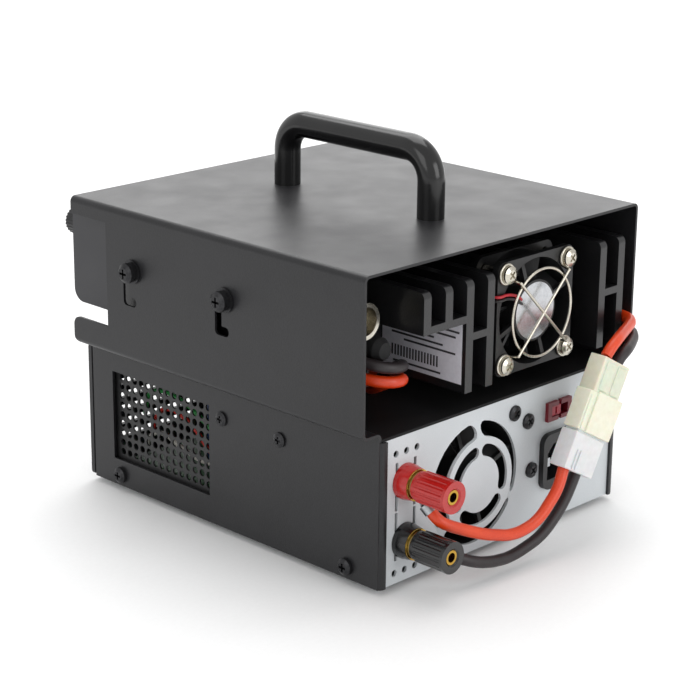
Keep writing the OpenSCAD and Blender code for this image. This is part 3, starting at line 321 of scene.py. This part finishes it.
low_x = FIN_SIDE + FILM_THICK - PRINT_SINK
high_x = low_x + PRINT_THICK
print_blocks = [[(low_x, PRINT_START + left, z), (high_x, PRINT_START + right, z + LINE_TALL)]
                for z, left, right in PRINT_LINES]
for step in range(BARS):
    bar_y = BAR_START + step * BAR_STEP
    print_blocks.append([(low_x, bar_y, BAR_Z[0]), (high_x, bar_y + BAR_WIDE, BAR_Z[1])])
label_ink = surface("label_ink", "#2a2a2e", "#35353a", 0.001, 0.0, (0.5, 0.6))
blocks("label_print", print_blocks, 0.01, Matrix.Identity(4), label_ink)

# ---- fan hub sticker ----
# A round foil sticker on the still motor disc in the middle of the radio's fan, which the rotor
# turns round. Brushed foil gives it a broken, silvery gleam.
HUB_CENTRE = (-0.0205, 0.08449, 0.101)
STICKER_R = 0.0125
STICKER_THICK = 0.00012

hub = bmesh.new()
facing_rear = Matrix.Translation(HUB_CENTRE) @ Matrix.Rotation(math.radians(90), 4, "X")
bmesh.ops.create_cone(hub, cap_ends=True, segments=64, radius1=STICKER_R, radius2=STICKER_R,
                      depth=STICKER_THICK, matrix=facing_rear)
brushed_foil = surface("brushed_foil", "#b9bcc0", "#d4d6d9", 0.0015, 0.000008, (0.2, 0.34), Metallic=0.9)
new_piece("hub_sticker", hub, brushed_foil)

# ---- thin wires ----
# Soft single-core wires with plain vinyl jackets. A red and black pair is fixed to the radio fan's
# motor, and three coloured ones are tied down beside the supply's board, behind the side vent.
FAN_WIRE_THICK = 0.0013
INNER_WIRE_THICK = 0.0022
THIN_WIRES = [
    ("fan_wire_red", "#b3202c", FAN_WIRE_THICK,
     [(6.5, 79, 112), (4.8, 85.2, 112), (0, 85.4, 112), (-5, 85.2, 111), (-9, 85, 109.2),
      (-11.5, 84.2, 107.5)]),
    ("fan_wire_black", "#1b1819", FAN_WIRE_THICK,
     [(6.5, 79, 110), (4.8, 85.2, 110.2), (0, 85.4, 110.3), (-5, 85.2, 109.2), (-9, 85, 107.2),
      (-12, 84.2, 105.5)]),
    ("inner_wire_red", "#c12a1f", INNER_WIRE_THICK,
     [(64, -14, 20), (68, -24, 30), (69.5, -36, 41), (69, -50, 44), (66, -62, 38), (62, -72, 22)]),
    ("inner_wire_green", "#2f8f45", INNER_WIRE_THICK,
     [(66, -14, 34), (69.5, -26, 44), (69.5, -40, 50), (68.5, -56, 51), (66, -68, 46), (62, -76, 34)]),
    ("inner_wire_white", "#c9c6bd", INNER_WIRE_THICK,
     [(64, -14, 27), (67, -28, 24), (69.5, -42, 28), (69, -54, 31), (66, -66, 27), (61, -76, 18)]),
]
for name, jacket_shade, thick, route in THIN_WIRES:
    jacket = surface(name + "_jacket", jacket_shade, jacket_shade, 0.0008, 0.00001, (0.35, 0.45))
    round_wire(name, route, thick, 4, jacket)

# ---- sheet metal ----
# The cabinet's cover and the radio's lid are bent steel sheet in satin powder coat, whose fine orange
# peel breaks up its sheen. The base tray is bare zinc-plated sheet, the plate between supply and radio
# is matt black, and the rear panel is painted pale grey. Screws hold them all.
powder_coat = surface("satin_powder_coat", "#19191b", "#232325", 0.0007, 0.00005, (0.34, 0.42),
                      Specular_IOR_Level=0.4)
zinc_sheet = surface("zinc_plated_sheet", "#9da1a4", "#b4b8ba", 0.004, 0.000004, (0.3, 0.42), Metallic=1.0)
black_sheet = surface("matt_black_sheet", "#0d0d0e", "#141415", 0.0007, 0.00003, (0.6, 0.7),
                      Specular_IOR_Level=0.25)
grey_paint = surface("light_grey_paint", "#bfc4c7", "#c8cccf", 0.0006, 0.000012, (0.42, 0.5))
mesh_paint = surface("black_mesh_paint", "#1b1b1c", "#242425", 0.0006, 0.00002, (0.45, 0.55))
wear(powder_coat, "cabinet_cover", "radio_top_cover")
wear(zinc_sheet, "chassis_base")
wear(black_sheet, "divider_plate")
wear(grey_paint, "rear_panel")
wear(mesh_paint, "side_vent_screens")

# ---- black mouldings ----
# The supply's front and the radio's front are moulded with a fine matt texture. Fans, knobs, the
# rocker, the inlet and the loudspeaker are smoother ABS. Feet, spacers and strain relief are rubber,
# and the handle is a thick glossy moulding that shows long clear highlights.
front_moulding = surface("front_moulding", "#1f1f21", "#262628", 0.0005, 0.00003, (0.5, 0.6))
bezel_moulding = surface("bezel_moulding", "#2c2c2f", "#323235", 0.0006, 0.00002, (0.45, 0.55))
key_moulding = surface("key_moulding", "#55555a", "#5f5f64", 0.0006, 0.00002, (0.45, 0.55))
black_abs = surface("black_abs", "#141415", "#1b1b1c", 0.0005, 0.00002, (0.35, 0.45))
foot_rubber = surface("foot_rubber", "#161617", "#1e1e1f", 0.0006, 0.00003, (0.7, 0.85))
handle_moulding = surface("handle_moulding", "#070708", "#0c0c0d", 0.0009, 0.000012, (0.16, 0.24),
                          Coat_Weight=0.15, Coat_Roughness=0.08)
wear(front_moulding, "front_panel")
wear(bezel_moulding, "radio_bezel")
wear(key_moulding, "key_1", "key_2", "key_3")
wear(black_abs, "rocker_frame", "power_rocker", "psu_fan_frame", "psu_fan_rotor", "inlet_shell",
     "radio_fan_frame", "radio_fan_rotor", "volume_knob", "channel_knob", "loudspeaker")
wear(foot_rubber, "rubber_feet", "radio_spacers", "cord_relief")
wear(handle_moulding, "carry_handle")

# ---- die casting ----
# The radio's chassis is one aluminium casting with its cooling fins, in a black finish with a grainy
# skin that catches a soft light along each fin.
cast_finish = surface("anodised_die_casting", "#141415", "#1e1e20", 0.0009, 0.00008, (0.28, 0.38),
                      Coat_Weight=0.2, Coat_Roughness=0.2)
wear(cast_finish, "radio_chassis")

# ---- screws and plated metal ----
# Cabinet and radio screws are steel in black zinc. The fan's wire guard, its screws and the aerial
# socket are bright nickel, which is faintly warm. Pins, lugs and the handle's screws are tinned.
black_zinc = surface("black_zinc", "#262628", "#3a3a3c", 0.0008, 0.00001, (0.3, 0.4), Metallic=0.7)
nickel = surface("nickel_plate", "#c4beb0", "#d9d5ca", 0.0012, 0.000006, (0.22, 0.34), Metallic=1.0)
tinned = surface("tinned_metal", "#a2a5a8", "#bcbfc1", 0.001, 0.000006, (0.25, 0.35), Metallic=1.0)
wear(black_zinc, "cover_screws", "heatsink_screws", "panel_screws", "radio_screws")
wear(nickel, "guard_screws", "fan_guard", "antenna_socket")
wear(tinned, "inlet_pins", "handle_screws", "mic_socket", "lead_terminals")

# ---- binding posts ----
# Glossy thermoset caps and bases, red and black, on gilt brass studs with gilt washers. A thin clear
# skin gives the ribs of the caps sharp highlights.
post_red = surface("post_moulding_red", "#a81613", "#bb2320", 0.0008, 0.000012, (0.2, 0.3),
                   Coat_Weight=0.3, Coat_Roughness=0.15)
post_black = surface("post_moulding_black", "#0d0d0e", "#151516", 0.0008, 0.000012, (0.18, 0.26),
                     Coat_Weight=0.3, Coat_Roughness=0.12)
gilt_brass = surface("gilt_brass", "#b98f35", "#d3ab50", 0.001, 0.000005, (0.16, 0.26), Metallic=1.0)
wear(post_red, "red_post_base", "red_post_cap")
wear(post_black, "black_post_base", "black_post_cap")
wear(gilt_brass, "red_post_stud", "black_post_stud", "red_cap_washer", "black_cap_washer")

# ---- selector, lamp and display ----
# The mains selector is a red moulded frame with a brighter slider in it. The frame's darker red is
# painted shade, for the connector's shadow over it. The lamp is clear green plastic, and the radio's
# window is a tinted, polished sheet.
# the frame's darker red is painted shade, where the connector's shadow falls on the selector
selector_frame = surface("selector_painted_shade_moulding", "#5d0c1a", "#74121f", 0.0008, 0.00001, (0.35, 0.45))
selector_slider = surface("slider_moulding", "#98182a", "#ad2033", 0.0008, 0.00001, (0.35, 0.45))
lamp_lens = surface("lamp_lens", "#2f9e40", "#3ab54c", 0.002, 0.0, (0.1, 0.15))
window_tint = surface("display_window_tint", "#3f5a4b", "#486653", 0.004, 0.0, (0.06, 0.1))
wear(selector_frame, "selector_frame")
wear(selector_slider, "selector_slider")
wear(lamp_lens, "power_led")
wear(window_tint, "display_window")

# ---- inner parts ----
# Two circuit boards under green solder resist. The supply's carries wound parts in amber tape,
# capacitors in blue sleeves, and heatsinks of plain extruded aluminium.
solder_resist = surface("solder_resist", "#1f5a2c", "#2b6e39", 0.003, 0.00001, (0.3, 0.45))
winding_tape = surface("winding_tape", "#b08a34", "#caa34a", 0.002, 0.00002, (0.4, 0.5))
capacitor_sleeve = surface("capacitor_sleeve", "#1c355c", "#26457a", 0.002, 0.00001, (0.25, 0.35))
extrusion = surface("extruded_aluminium", "#aeb1b4", "#c2c5c7", 0.002, 0.00001, (0.3, 0.4), Metallic=1.0)
wear(solder_resist, "psu_board", "radio_board")
wear(winding_tape, "wound_parts")
wear(capacitor_sleeve, "capacitors")
wear(extrusion, "heatsinks")

# ---- the leads' lengths and ends ----
# The radio's pair ends in the radio's half of the connector. The posts' pair ends in the supply's
# half, and each of its leads starts in a crimped ring lug. All four hang limp and loose.
for name, lead in leads.items():
    route = [Vector(point) / 1000 for point in LEAD_ROUTES[name]]
